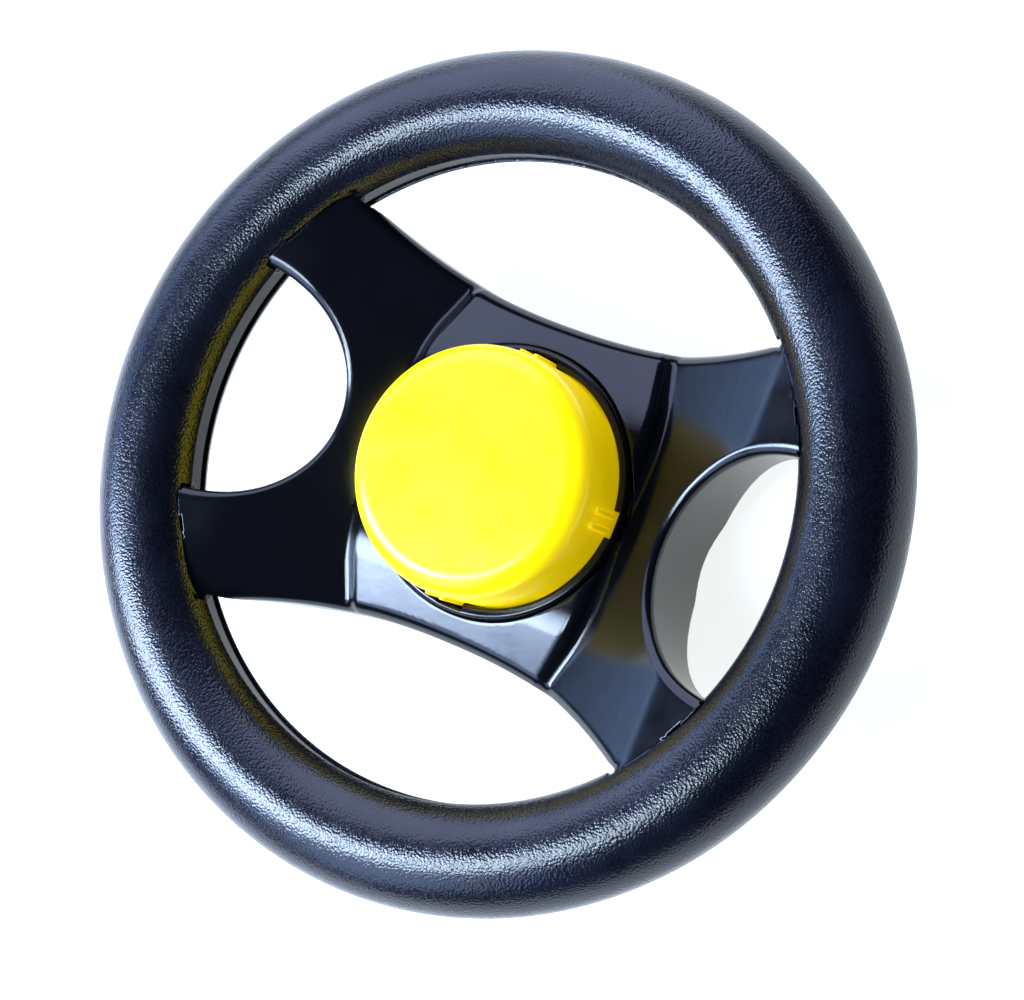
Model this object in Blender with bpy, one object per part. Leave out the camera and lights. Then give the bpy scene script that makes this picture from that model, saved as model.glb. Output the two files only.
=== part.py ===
"""A 300 mm play steering wheel with a push horn, standing on its mounting base.

Shapes are drawn in millimetres and scaled to metres as they become objects. +Z is the wheel's
axis, z = 0 is the underside of the base, and X runs through the two small openings.
"""

import math

import bmesh
import bpy
from mathutils import Matrix

# Driving dimensions, in millimetres
RIM_HEIGHT = 60.0  # the rim's middle plane above the underside of the base
WHEEL_RADIUS = 150.0
GRIP_INNER, CROWN = 111.4, 129.0  # radii of the grip's inner side and of its highest line
INNER_FULLNESS = 2.4  # power of the section inside the crown; outside it is an ellipse
RIM_HALF_DEPTH = 18.5  # axial half depth of the grip's section

# Heights in this block are over the rim's middle plane
RING_RADIUS, RING_OUTER = 113.0, 122.5  # the spider's ring
RING_FRONT, RING_BACK = 9.5, -4.0
STEP_RADIUS, SKIN_EDGE = 115.5, 4.5  # the ring's inner corner, and the edge of the grip's skin over it
KEY_OUTER, KEY_FRONT, KEY_BACK = 130.0, 7.0, 1.0  # the rib that locks the ring into the grip
SPOKE_REACH, TENON_TOP = 121.0, 9.0  # the spokes enter the ring below this height
SPOKE_SLOPE, SPOKE_ZERO = 0.55, -41.9  # the spokes' faces rise along X, from this height on the axis
SPOKE_TOP = 12.5
PLATE_END = 40.0  # X inside which the sloping faces are hidden under the plateau
HUB_BACK = -53.0
BACK_CONE = ((70.0, HUB_BACK), (113.8, 4.4))  # radius and height where the spokes' backs start and end
PLATEAU_TOP, PLATEAU_EDGE, PLATEAU_FOOT = -10.5, -19.5, -30.0
FACET_START = 37.0  # Y at which the plateau starts to fall away

# Plan of the openings
SMALL_CENTRE, SMALL_RADIUS = 108.4, 42.2  # the arc on the hub side of a small opening
LARGE_NEAR, LARGE_FAR, LARGE_END = 59.2, 76.3, 83.0  # hub side of a large one: Y at X = 0 and at X = END
LARGE_BEND = 2.3  # power of X with which it moves from one to the other
BEYOND = 128.0  # radius that lies past the spokes' reach

# Hub, with heights from the underside of the base from here on
WALL = 3.4
WELL_RADIUS, WELL_FLOOR, FLOOR_THICKNESS = 46.2, 36.0, 4.0
SEAT_RADIUS, SEAT_FLOOR = 48.5, 45.0
BEARING_LEVEL = 19.0  # where the thrust washer meets the rear bush, level with the cover's underside
CAVITY_RADIUS, COVER_SEAT, COVER_HOLE = 47.0, 23.0, 17.5
TUBE_RADIUS, TUBE_BORE, TUBE_BOTTOM = 17.0, 11.0, 21.2
POCKET_START, POCKET_REACH, POCKET_RIBS, POCKET_RIB = 51.0, 110.6, (68.0, 88.0), 2.5
HUB_RIB, BOSS, PILOT = 2.4, 4.5, 1.9

# Push horn
CAP_RADIUS, CAP_TOP, CAP_DOME, CAP_SHOULDER = 43.6, 80.0, 0.7, 7.7
CAP_WALL, CAP_BOTTOM, CAP_GUIDE = 2.8, 41.7, 23.2
RIB_WIDTH, RIB_PROUD, RIB_PITCH, RIB_TOP, RIB_BOTTOM = 2.0, 1.4, 5.5, 65.0, 47.0
LUG_REACH, LUG_HEIGHT, LUG_WIDTH = 45.5, 2.9, 10.0
BEZEL_INNER, BEZEL_OUTER, BEZEL_TOP = 44.3, 48.2, 50.4
KEYWAY_RADIUS, KEYWAY_WIDTH = 46.6, 9.4
FOOT_RADIUS, HORN_FOOT = 38.5, 3.0  # the flange of the horn's base, and its thickness
CUP_RADIUS, CUP_WALL, CUP_TOP = 28.0, 2.5, 60.0
REED_HOLE, REED_AIR = 6.3, 3.5
BELLOWS_RADIUS, BELLOWS_WALL = 16.0, 1.2
SPRING_RADIUS, SPRING_WIRE = 20.4, 0.9  # radii of the coil and of its wire

# Base, axle and fasteners
BASE_RADIUS, BASE_THICKNESS = 42.0, 7.0
BOSS_RADIUS, BOSS_TOP = 20.0, 17.0
BASE_HOLE_RADIUS, BASE_HOLE_CIRCLE = 3.3, 31.0
BOLT_RADIUS, BOLT_TOP = 5.0, 52.0
BOLT_HEAD_ACROSS, BOLT_HEAD_HEIGHT = 16.0, 6.4
NUT_ACROSS, NUT_HEIGHT = 16.0, 9.5
SLEEVE_RADIUS, SLEEVE_TOP = 8.0, 38.6
BUSH_FLANGE, BUSH_FLANGE_THICKNESS = 13.0, 2.0
SCREW_RADIUS, SCREW_HEAD, HEAD_HEIGHT, SCREW_COUNT = 1.6, 3.1, 1.8, 4
COVER_SCREW_CIRCLE, HORN_SCREW_CIRCLE, HORN_SCREW_END = 38.0, 33.5, 27.0
COVER_HEAD_SINK, COVER_SCREW_TIP, COVER_PILOT_END = 2.2, 29.5, 30.5

FALLBACK_SOLVER = "MANIFOLD"  # for the spokes and the horn foot, where the exact solver leaves open edges
GAP = 0.3  # between pieces that touch
RUNNING = 0.1  # radial, between pieces that turn in each other
RIM_SIDES, ROUND, SMALL_ROUND, FINE_ROUND = 60, 32, 20, 10  # sides of turned pieces, by size


def clear_scene():
    for thing in list(bpy.data.objects):
        bpy.data.objects.remove(thing)


def new_material(name, colour, roughness, metallic=0.0):
    made = bpy.data.materials.new(name)
    made.use_nodes = True
    shader = made.node_tree.nodes["Principled BSDF"]
    shader.inputs["Base Color"].default_value = (*colour, 1.0)
    shader.inputs["Roughness"].default_value = roughness
    shader.inputs["Metallic"].default_value = metallic
    return made


def new_axis(name, height, parent=None):
    """An empty on the wheel's axis, which carries the pieces that move together."""
    axis = bpy.data.objects.new(name, None)
    bpy.context.scene.collection.objects.link(axis)
    axis.empty_display_size = 0.02
    axis.parent = parent
    axis.location.z = height * 0.001 - (parent.location.z if parent else 0.0)
    return axis


def world_height(thing):
    """Height of an object's origin over the world's, in metres, through all its parents."""
    height = 0.0
    while thing:
        height += thing.location.z
        thing = thing.parent
    return height


def finish(name, shape):
    """Turns a bmesh in millimetres into an object with its origin at the world's."""
    bmesh.ops.remove_doubles(shape, verts=shape.verts, dist=1e-4)
    bmesh.ops.recalc_face_normals(shape, faces=shape.faces)
    bmesh.ops.scale(shape, vec=(0.001, 0.001, 0.001), verts=shape.verts)
    mesh = bpy.data.meshes.new(name)
    shape.to_mesh(mesh)
    shape.free()
    made = bpy.data.objects.new(name, mesh)
    bpy.context.scene.collection.objects.link(made)
    return made


def dress(made, material, parent):
    """Gives a finished piece its material, smooth shading and its parent, without moving it."""
    made.data.name = made.name
    made.data.materials.clear()
    made.data.materials.append(material)
    made.data.transform(Matrix.Translation((0.0, 0.0, -world_height(parent))))
    made.parent = parent
    made.data.shade_smooth()
    made.data.set_sharp_from_angle(angle=math.radians(35))
    return made


def turned(profile, sides=ROUND):
    """A closed profile of (radius, height) points turned about Z."""
    shape = bmesh.new()
    points = [shape.verts.new((radius, 0.0, height)) for radius, height in profile]
    edges = [shape.edges.new((a, b)) for a, b in zip(points, points[1:] + points[:1])]
    bmesh.ops.spin(
        shape,
        geom=points + edges,
        cent=(0, 0, 0),
        axis=(0, 0, 1),
        angle=2 * math.pi,
        steps=sides,
        use_merge=True,
    )
    bmesh.ops.remove_doubles(shape, verts=shape.verts, dist=1e-4)
    on_axis = [e for e in shape.edges if all(math.hypot(*v.co.xy) < 1e-5 for v in e.verts)]
    bmesh.ops.delete(shape, geom=on_axis, context="EDGES")
    return shape


def prism(outline, low, high):
    """A plan outline between two heights."""
    shape = bmesh.new()
    face = shape.faces.new([shape.verts.new((x, y, low)) for x, y in outline])
    raised = bmesh.ops.extrude_face_region(shape, geom=[face])["geom"]
    top = [v for v in raised if isinstance(v, bmesh.types.BMVert)]
    bmesh.ops.translate(shape, vec=(0, 0, high - low), verts=top)
    return shape


def tube(inner, outer, low, high, sides=ROUND):
    return turned([(inner, low), (outer, low), (outer, high), (inner, high)], sides)


def cylinder(radius, low, high, sides=SMALL_ROUND, centre=(0.0, 0.0)):
    shape = turned([(0, low), (radius, low), (radius, high), (0, high)], sides)
    bmesh.ops.translate(shape, vec=(*centre, 0), verts=shape.verts)
    return shape


def box(low, high):
    corners = [(low[0], low[1]), (high[0], low[1]), (high[0], high[1]), (low[0], high[1])]
    return prism(corners, low[2], high[2])


def spun(shape, angle):
    bmesh.ops.rotate(shape, cent=(0, 0, 0), matrix=Matrix.Rotation(angle, 3, "Z"), verts=shape.verts)
    return shape


def combine(target, other, operation, solver="EXACT"):
    """Applies one Boolean to the target. The other body is a bmesh in millimetres, or an object."""
    if isinstance(other, bmesh.types.BMesh):
        other = finish("cutter", other)
    other.hide_render = True
    other.display_type = "WIRE"
    step = target.modifiers.new(operation.title(), "BOOLEAN")
    step.operation = operation
    step.solver = solver
    step.object = other
    bpy.context.view_layer.update()
    graph = bpy.context.evaluated_depsgraph_get()
    result = bpy.data.meshes.new_from_object(target.evaluated_get(graph))
    target.modifiers.remove(step)
    target.data = result
    bpy.data.objects.remove(other)


def cut(target, shape, solver="EXACT"):
    combine(target, shape, "DIFFERENCE", solver)


def join(target, shape, solver="EXACT"):
    combine(target, shape, "UNION", solver)


def arc(centre, radius, start, end, steps):
    turn = [math.radians(start + (end - start) * i / steps) for i in range(steps + 1)]
    return [(centre[0] + radius * math.cos(t), centre[1] + radius * math.sin(t)) for t in turn]


def large_edge(x, grow):
    """Y of the hub-side wall of a large opening, moved outwards by grow."""
    return LARGE_NEAR + grow + (LARGE_FAR - LARGE_NEAR) * (abs(x) / LARGE_END) ** LARGE_BEND


def large_outline(grow):
    """The opening above the hub, out to beyond the spokes' reach."""
    end = LARGE_END
    while math.hypot(end, large_edge(end, grow)) < BEYOND:
        end += 0.1
    steps = 16
    across = [end * (2 * i / steps - 1) for i in range(steps + 1)]
    corner = math.degrees(math.atan2(large_edge(end, grow), end))
    ring_side = arc((0, 0), BEYOND, corner, 180 - corner, 6)[1:-1]
    return [(x, large_edge(x, grow)) for x in across] + ring_side


def small_outline(grow):
    """The opening on the +X side, out to beyond the spokes' reach."""
    radius = SMALL_RADIUS - grow
    x = (SMALL_CENTRE**2 + BEYOND**2 - radius**2) / (2 * SMALL_CENTRE)
    y = math.sqrt(BEYOND**2 - x**2)
    corner = math.degrees(math.atan2(y, x))
    hub = math.degrees(math.atan2(y, x - SMALL_CENTRE))
    ring_side = arc((0, 0), BEYOND, -corner, corner, 4)
    hub_side = arc((SMALL_CENTRE, 0), radius, hub, 360 - hub, 18)[1:-1]
    return ring_side + hub_side


def spoke_plan(reach, grow, low, high):
    """The hub and the four spokes as a plan-shaped block: a disc without its openings."""
    blank = finish("plan", cylinder(reach, low, high, RIM_SIDES))
    for side in (0.0, math.pi):
        cut(blank, spun(prism(large_outline(grow), low - 1, high + 1), side), FALLBACK_SOLVER)
        cut(blank, spun(prism(small_outline(grow), low - 1, high + 1), side), FALLBACK_SOLVER)
    return blank


def side_body(front_drop):
    """The spider's front seen along Y, drawn out along Y: two sloping faces with level ends."""
    shoulder = (SPOKE_TOP - SPOKE_ZERO) / SPOKE_SLOPE
    right = [
        (PLATE_END, SPOKE_ZERO + SPOKE_SLOPE * PLATE_END - front_drop),
        (shoulder, SPOKE_TOP - front_drop),
        (BEYOND, SPOKE_TOP - front_drop),
        (BEYOND, HUB_BACK - 5),
    ]
    outline = right + [(-x, z) for x, z in reversed(right)]
    shape = bmesh.new()
    face = shape.faces.new([shape.verts.new((x, -BEYOND, RIM_HEIGHT + z)) for x, z in outline])
    raised = bmesh.ops.extrude_face_region(shape, geom=[face])["geom"]
    moved = [v for v in raised if isinstance(v, bmesh.types.BMVert)]
    bmesh.ops.translate(shape, vec=(0, 2 * BEYOND, 0), verts=moved)
    return shape


def bowl():
    """The spider's back: flat behind the hub, then a cone that rises to the ring."""
    end = BEYOND + 5
    profile = [(0, HUB_BACK), *BACK_CONE, (end, BACK_CONE[1][1]), (end, 40), (0, 40)]
    return turned([(radius, RIM_HEIGHT + z) for radius, z in profile])


def plateau():
    """The raised middle of the hub, flat along X and falling away towards both large openings."""
    shape = bmesh.new()
    quarter = (
        (44.6, FACET_START, PLATEAU_TOP),
        (35.9, 68.0, PLATEAU_EDGE),
        (49.1, FACET_START, PLATEAU_TOP - 5.0),
        (40.4, 68.0, PLATEAU_EDGE - 2.2),
        (40.4, 68.0, PLATEAU_FOOT),
        (49.1, FACET_START, PLATEAU_FOOT),
    )
    for x, y, z in quarter:
        for sx, sy in ((1, 1), (1, -1), (-1, 1), (-1, -1)):
            shape.verts.new((sx * x, sy * y, RIM_HEIGHT + z))
    hull = bmesh.ops.convex_hull(shape, input=shape.verts)
    inside = [g for g in hull["geom_interior"] if isinstance(g, bmesh.types.BMVert)]
    bmesh.ops.delete(shape, geom=inside, context="VERTS")
    return shape


def around(count, start=0.0):
    return [start + 2 * math.pi * i / count for i in range(count)]


def on_circle(radius, angle):
    return radius * math.cos(angle), radius * math.sin(angle)


def hexagon(across):
    corner = across / 2 / math.cos(math.pi / 6)
    return [on_circle(corner, angle) for angle in around(6)]


def spoke_pockets():
    """The hollows in the spokes' backs, with cross ribs left standing between them."""
    hollow = finish("hollow", side_body(WALL))
    keep = spoke_plan(POCKET_REACH, -WALL, 0.0, 90.0)
    combine(hollow, keep, "INTERSECT", FALLBACK_SOLVER)
    cut(hollow, cylinder(POCKET_START, 0, 90, ROUND), FALLBACK_SOLVER)
    for radius in POCKET_RIBS:
        cut(hollow, tube(radius, radius + POCKET_RIB, 0, 90), FALLBACK_SOLVER)
    return hollow


def rear_cavity():
    """The hub's hollow behind the well's floor, with radial ribs and screw bosses left standing."""
    ceiling = WELL_FLOOR - FLOOR_THICKNESS
    profile = [
        (0, 0),
        (CAVITY_RADIUS, 0),
        (CAVITY_RADIUS, ceiling),
        (TUBE_RADIUS, ceiling),
        (TUBE_RADIUS, TUBE_BOTTOM),
        (0, TUBE_BOTTOM),
    ]
    hollow = finish("hollow", turned(profile))
    for angle in around(8):
        slab = box((TUBE_RADIUS - 2, -HUB_RIB / 2, COVER_SEAT), (60, HUB_RIB / 2, 90))
        cut(hollow, spun(slab, angle), FALLBACK_SOLVER)
    for circle, start in ((COVER_SCREW_CIRCLE, math.pi / 4), (HORN_SCREW_CIRCLE, 0.0)):
        for angle in around(SCREW_COUNT, start):
            boss = cylinder(BOSS, COVER_SEAT, 90, FINE_ROUND, on_circle(circle, angle))
            cut(hollow, boss, FALLBACK_SOLVER)
    return hollow


def grip_point(turn, grow=0.0):
    """A point of the grip's section, as radius and height, at a turn from the outermost point."""
    across, up = math.cos(turn), math.sin(turn)
    if across >= 0:
        reach, power = WHEEL_RADIUS - CROWN, 2.0
    else:
        reach, power = CROWN - GRIP_INNER, INNER_FULLNESS
    across = math.copysign(abs(across) ** (2 / power), across)
    up = math.copysign(abs(up) ** (2 / power), up)
    return CROWN + (reach + grow) * across, RIM_HEIGHT + (RIM_HALF_DEPTH + grow) * up


def inner_turn(height):
    """The turn at which the section's inner side passes a height over the middle plane."""
    rise = math.asin((abs(height) / RIM_HALF_DEPTH) ** (INNER_FULLNESS / 2))
    return math.copysign(math.pi - rise, height)


def under_skin():
    """The room that the grip's inner flank takes above the spokes' ends."""
    low = inner_turn(TENON_TOP)
    flank = [grip_point(low + (math.pi / 2 - low) * i / 8, GAP) for i in range(9)]
    bottom = RIM_HEIGHT + TENON_TOP
    return turned([(flank[0][0], bottom), *flank[1:], (BEYOND + 5, 90), (BEYOND + 5, bottom)], RIM_SIDES)


def make_spider(material, parent):
    """One moulding: the ring, four spokes and the hub with its horn well and bearing tube."""
    spider = finish("wheel_spider", side_body(0.0))
    join(spider, plateau(), FALLBACK_SOLVER)
    combine(spider, spoke_plan(SPOKE_REACH, 0.0, 0.0, 90.0), "INTERSECT", FALLBACK_SOLVER)
    combine(spider, bowl(), "INTERSECT", FALLBACK_SOLVER)
    cut(spider, under_skin(), FALLBACK_SOLVER)
    front, back = RIM_HEIGHT + RING_FRONT, RIM_HEIGHT + RING_BACK
    ring = [
        (RING_RADIUS, back + 1),
        (RING_RADIUS + 1, back),
        (RING_OUTER, back),
        (RING_OUTER, RIM_HEIGHT + KEY_BACK),
        (KEY_OUTER, RIM_HEIGHT + KEY_BACK),
        (KEY_OUTER, RIM_HEIGHT + KEY_FRONT),
        (RING_OUTER, RIM_HEIGHT + KEY_FRONT),
        (RING_OUTER, front),
        (STEP_RADIUS, front),
        (STEP_RADIUS, RIM_HEIGHT + SKIN_EDGE - GAP),
        (RING_RADIUS, RIM_HEIGHT + SKIN_EDGE - GAP),
    ]
    join(spider, turned(ring, RIM_SIDES), FALLBACK_SOLVER)
    bores = (
        spoke_pockets(),
        rear_cavity(),
        cylinder(TUBE_BORE, 0, 90, ROUND),
        cylinder(WELL_RADIUS, WELL_FLOOR, 90, ROUND),
        cylinder(SEAT_RADIUS, SEAT_FLOOR, 90, ROUND),
    )
    for bore in bores:
        cut(spider, bore, FALLBACK_SOLVER)
    for angle in around(SCREW_COUNT, math.pi / 4):
        centre = on_circle(COVER_SCREW_CIRCLE, angle)
        cut(spider, cylinder(PILOT, 0, COVER_PILOT_END, FINE_ROUND, centre), FALLBACK_SOLVER)
    for angle in around(SCREW_COUNT):
        centre = on_circle(HORN_SCREW_CIRCLE, angle)
        cut(spider, cylinder(PILOT, HORN_SCREW_END - 1, 90, FINE_ROUND, centre), FALLBACK_SOLVER)
    return dress(spider, material, parent)


def make_grip(material, parent):
    """The soft round rim, moulded over the spider's ring, whose inner wall shows in a groove."""
    stops = (inner_turn(SKIN_EDGE), math.pi / 2, 0.0, -math.pi / 2, inner_turn(RING_BACK - GAP))
    turns = [a + (b - a) * i / 6 for a, b in zip(stops, stops[1:]) for i in range(6)] + [stops[-1]]
    section = [grip_point(turn) for turn in turns]
    low, high = RIM_HEIGHT + RING_BACK - GAP, RIM_HEIGHT + RING_FRONT + GAP
    section += [
        (RING_OUTER + GAP, low),
        (RING_OUTER + GAP, RIM_HEIGHT + KEY_BACK - GAP),
        (KEY_OUTER + GAP, RIM_HEIGHT + KEY_BACK - GAP),
        (KEY_OUTER + GAP, RIM_HEIGHT + KEY_FRONT + GAP),
        (RING_OUTER + GAP, RIM_HEIGHT + KEY_FRONT + GAP),
        (RING_OUTER + GAP, high),
        (STEP_RADIUS - GAP, high),
        (STEP_RADIUS - GAP, RIM_HEIGHT + SKIN_EDGE),
    ]
    grip = finish("rim_grip", turned(section, RIM_SIDES))
    low, high = RIM_HEIGHT + BACK_CONE[1][1] - 2 * GAP, RIM_HEIGHT + TENON_TOP + GAP
    notch = spoke_plan(SPOKE_REACH - 1, GAP, low, high)
    combine(grip, notch, "DIFFERENCE", FALLBACK_SOLVER)
    return dress(grip, material, parent)


def make_cap(material, parent):
    """The push horn's round cap, with four pairs of guide ribs and four lugs under the bezel."""
    turn = (CAP_RADIUS - CAP_SHOULDER, CAP_TOP - CAP_DOME - CAP_SHOULDER)
    shoulder = arc(turn, CAP_SHOULDER, 0, 88, 5)
    inner = CAP_RADIUS - CAP_WALL
    ceiling = CAP_TOP - CAP_WALL
    profile = [(0, ceiling), (inner - 4, ceiling - 0.8), (inner, ceiling - 5)]
    profile += [(inner, CAP_BOTTOM), (CAP_RADIUS, CAP_BOTTOM)] + shoulder
    profile += [(CAP_RADIUS * 0.45, CAP_TOP - 0.15), (0, CAP_TOP)]
    cap = finish("horn_cap", turned(profile))
    join(cap, tube(CAP_GUIDE, CAP_GUIDE + 1.8, ceiling - 6, CAP_TOP - 1.5))
    for angle in around(4):
        for side in (-0.5, 0.5):
            y = side * RIB_PITCH
            rib = box(
                (CAP_RADIUS - 1.2, y - RIB_WIDTH / 2, RIB_BOTTOM),
                (CAP_RADIUS + RIB_PROUD, y + RIB_WIDTH / 2, RIB_TOP),
            )
            join(cap, spun(rib, angle))
    for angle in around(4, math.pi / 4):
        lug = box(
            (CAP_RADIUS - 1.6, -LUG_WIDTH / 2, CAP_BOTTOM),
            (LUG_REACH, LUG_WIDTH / 2, CAP_BOTTOM + LUG_HEIGHT),
        )
        join(cap, spun(lug, angle))
    return dress(cap, material, parent)


def make_bezel(material, parent):
    """The ring round the cap, with a keyway for each pair of ribs."""
    low = SEAT_FLOOR + GAP
    profile = [
        (BEZEL_INNER, low),
        (BEZEL_OUTER, low),
        (BEZEL_OUTER, BEZEL_TOP - 1.4),
        (BEZEL_OUTER - 0.5, BEZEL_TOP - 0.4),
        (BEZEL_OUTER - 1.5, BEZEL_TOP),
        (BEZEL_INNER + 0.5, BEZEL_TOP),
        (BEZEL_INNER, BEZEL_TOP - 0.5),
    ]
    bezel = finish("horn_bezel", turned(profile))
    for angle in around(4):
        keyway = box((30, -KEYWAY_WIDTH / 2, 0), (KEYWAY_RADIUS, KEYWAY_WIDTH / 2, 90))
        cut(bezel, spun(keyway, angle))
    return dress(bezel, material, parent)


def make_horn_base(material, parent):
    """An upturned cup over the axle nut, which carries the squeaker and the spring."""
    low = WELL_FLOOR + GAP
    profile = [
        (CUP_RADIUS - CUP_WALL, low),
        (FOOT_RADIUS, low),
        (FOOT_RADIUS, low + HORN_FOOT),
        (CUP_RADIUS, low + HORN_FOOT),
        (CUP_RADIUS, CUP_TOP - 1),
        (CUP_RADIUS - 1, CUP_TOP),
        (SPRING_RADIUS + 3.7, CUP_TOP),
        (SPRING_RADIUS + 3.7, CUP_TOP + 1.6),
        (SPRING_RADIUS + 2.2, CUP_TOP + 1.6),
        (SPRING_RADIUS + 2.2, CUP_TOP),
        (REED_HOLE, CUP_TOP),
        (REED_HOLE, CUP_TOP - HORN_FOOT),
        (CUP_RADIUS - CUP_WALL, CUP_TOP - HORN_FOOT),
    ]
    base = finish("horn_base", turned(profile, ROUND))
    for angle in around(SCREW_COUNT):
        hole = cylinder(PILOT, 0, 50, FINE_ROUND, on_circle(HORN_SCREW_CIRCLE, angle))
        cut(base, hole, FALLBACK_SOLVER)
    return dress(base, material, parent)


def make_bellows(material, parent):
    """A rubber bellows with an open foot, which blows through the reed."""
    low, high = CUP_TOP + GAP, CAP_TOP - CAP_WALL - 0.5
    folds = 3
    outside, inside = [], []
    for i in range(2 * folds + 1):
        radius = BELLOWS_RADIUS - (0.0 if i % 2 else 3.5)
        outside.append((radius, low + 1.4 + (high - low - 2.8) * i / (2 * folds)))
        inside.append((radius - BELLOWS_WALL, outside[-1][1]))
    profile = [(REED_AIR, low), (outside[0][0], low)] + outside + [(outside[-1][0], high), (0, high)]
    profile += [(0, high - 1.2)] + inside[::-1] + [(REED_AIR, low + 1.2)]
    return dress(finish("squeaker_bellows", turned(profile, SMALL_ROUND)), material, parent)


def make_reed(material, parent):
    """The squeaker's whistle insert, with its air hole."""
    profile = [
        (REED_AIR - 1.5, CUP_TOP - 5.3),
        (REED_HOLE + 1.6, CUP_TOP - 5.3),
        (REED_HOLE + 1.6, CUP_TOP - 3 - GAP),
        (REED_HOLE - GAP, CUP_TOP - 3 - GAP),
        (REED_HOLE - GAP, CUP_TOP),
        (REED_AIR - 1.5, CUP_TOP),
    ]
    return dress(finish("squeaker_reed", turned(profile, SMALL_ROUND)), material, parent)


def make_spring(material, parent):
    """A compression spring whose end turns lie flat."""
    low = CUP_TOP + GAP + SPRING_WIRE
    high = CAP_TOP - CAP_WALL - 0.5 - SPRING_WIRE
    turns, per_turn = 5, 14
    curve = bpy.data.curves.new("return_spring", "CURVE")
    curve.dimensions = "3D"
    curve.bevel_depth = SPRING_WIRE * 0.001
    curve.bevel_resolution = 0
    curve.use_fill_caps = True
    line = curve.splines.new("POLY")
    count = turns * per_turn
    line.points.add(count)
    for i, point in enumerate(line.points):
        share = min(max((i / per_turn - 0.8) / (turns - 1.6), 0.0), 1.0)
        flat = 2.2 * SPRING_WIRE * min(i / per_turn, 0.8)
        flat_top = 2.2 * SPRING_WIRE * min((count - i) / per_turn, 0.8)
        ends = low + flat, high - flat_top
        height = ends[0] + (ends[1] - ends[0]) * share
        x, y = on_circle(SPRING_RADIUS, 2 * math.pi * i / per_turn)
        point.co = (x * 0.001, y * 0.001, height * 0.001 - world_height(parent), 1.0)
    spring = bpy.data.objects.new("return_spring", curve)
    bpy.context.scene.collection.objects.link(spring)
    spring.parent = parent
    curve.materials.append(material)
    return spring


def make_base(material, parent):
    """The round foot that is screwed to a post or a panel, with a pocket for the bolt's head."""
    profile = [
        (BOLT_RADIUS + GAP, 0),
        (BASE_RADIUS, 0),
        (BASE_RADIUS, BASE_THICKNESS - 1.5),
        (BASE_RADIUS - 1.5, BASE_THICKNESS),
        (BOSS_RADIUS + 3, BASE_THICKNESS),
        (BOSS_RADIUS + 0.8, BASE_THICKNESS + 0.8),
        (BOSS_RADIUS, BASE_THICKNESS + 3),
        (BOSS_RADIUS, BOSS_TOP - 1),
        (BOSS_RADIUS - 1, BOSS_TOP),
        (BOLT_RADIUS + GAP, BOSS_TOP),
    ]
    base = finish("mounting_base", turned(profile))
    cut(base, prism(hexagon(BOLT_HEAD_ACROSS + 2 * GAP), -1, BOLT_HEAD_HEIGHT + 1))
    for angle in around(4, math.pi / 4):
        x, y = on_circle(BASE_HOLE_CIRCLE, angle)
        sink = [(0, -1), (BASE_HOLE_RADIUS, -1), (BASE_HOLE_RADIUS, 3.4), (BASE_HOLE_RADIUS + 4.6, 8), (0, 8)]
        hole = turned(sink, FINE_ROUND)
        bmesh.ops.translate(hole, vec=(x, y, 0), verts=hole.verts)
        cut(base, hole)
    return dress(base, material, parent)


def make_axle(steel, zinc, parent):
    """The fixed bolt, its bearing sleeve, the washers and the lock nut."""
    bolt = finish("axle_bolt", prism(hexagon(BOLT_HEAD_ACROSS), 0.5, BOLT_HEAD_HEIGHT + 0.5))
    shank = [(BOLT_RADIUS, 3), (BOLT_RADIUS, BOLT_TOP - 1), (BOLT_RADIUS - 1, BOLT_TOP)]
    join(bolt, turned([(0, 3)] + shank + [(0, BOLT_TOP)], SMALL_ROUND))
    dress(bolt, zinc, parent)
    sleeve = tube(BOLT_RADIUS + GAP, SLEEVE_RADIUS, BOSS_TOP + GAP, SLEEVE_TOP)
    dress(finish("axle_sleeve", sleeve), steel, parent)
    thrust = tube(SLEEVE_RADIUS + GAP, BOSS_RADIUS - 2, BOSS_TOP + GAP, BEARING_LEVEL - 0.4)
    dress(finish("thrust_washer", thrust), steel, parent)
    washer = tube(BOLT_RADIUS + GAP, 12, SLEEVE_TOP + GAP, SLEEVE_TOP + GAP + 2)
    dress(finish("nut_washer", washer), zinc, parent)
    foot = SLEEVE_TOP + 2 * GAP + 2
    nut = finish("lock_nut", prism(hexagon(NUT_ACROSS), foot, foot + NUT_HEIGHT - 2.5))
    collar, top = NUT_ACROSS / 2 - 0.2, foot + NUT_HEIGHT
    profile = [(0, foot + 4), (collar, foot + 4), (collar, top - 1), (collar - 1.2, top), (0, top)]
    join(nut, turned(profile, SMALL_ROUND))
    cut(nut, cylinder(BOLT_RADIUS + GAP, 0, 90))
    dress(nut, zinc, parent)


def make_bushes(material, parent):
    """Two flanged plain bearings pressed into the spider's tube from its two ends."""
    bore, barrel = SLEEVE_RADIUS + RUNNING, TUBE_BORE - 0.2
    low = BEARING_LEVEL - 0.1
    rear = [
        (bore, low),
        (BUSH_FLANGE, low),
        (BUSH_FLANGE, low + BUSH_FLANGE_THICKNESS),
        (barrel, low + BUSH_FLANGE_THICKNESS),
        (barrel, low + 10),
        (bore, low + 10),
    ]
    dress(finish("rear_bush", turned(rear)), material, parent)
    seat = WELL_FLOOR + GAP
    front = [
        (bore, seat - 6),
        (barrel, seat - 6),
        (barrel, seat),
        (BUSH_FLANGE, seat),
        (BUSH_FLANGE, seat + BUSH_FLANGE_THICKNESS - GAP),
        (bore, seat + BUSH_FLANGE_THICKNESS - GAP),
    ]
    dress(finish("front_bush", turned(front)), material, parent)


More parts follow.
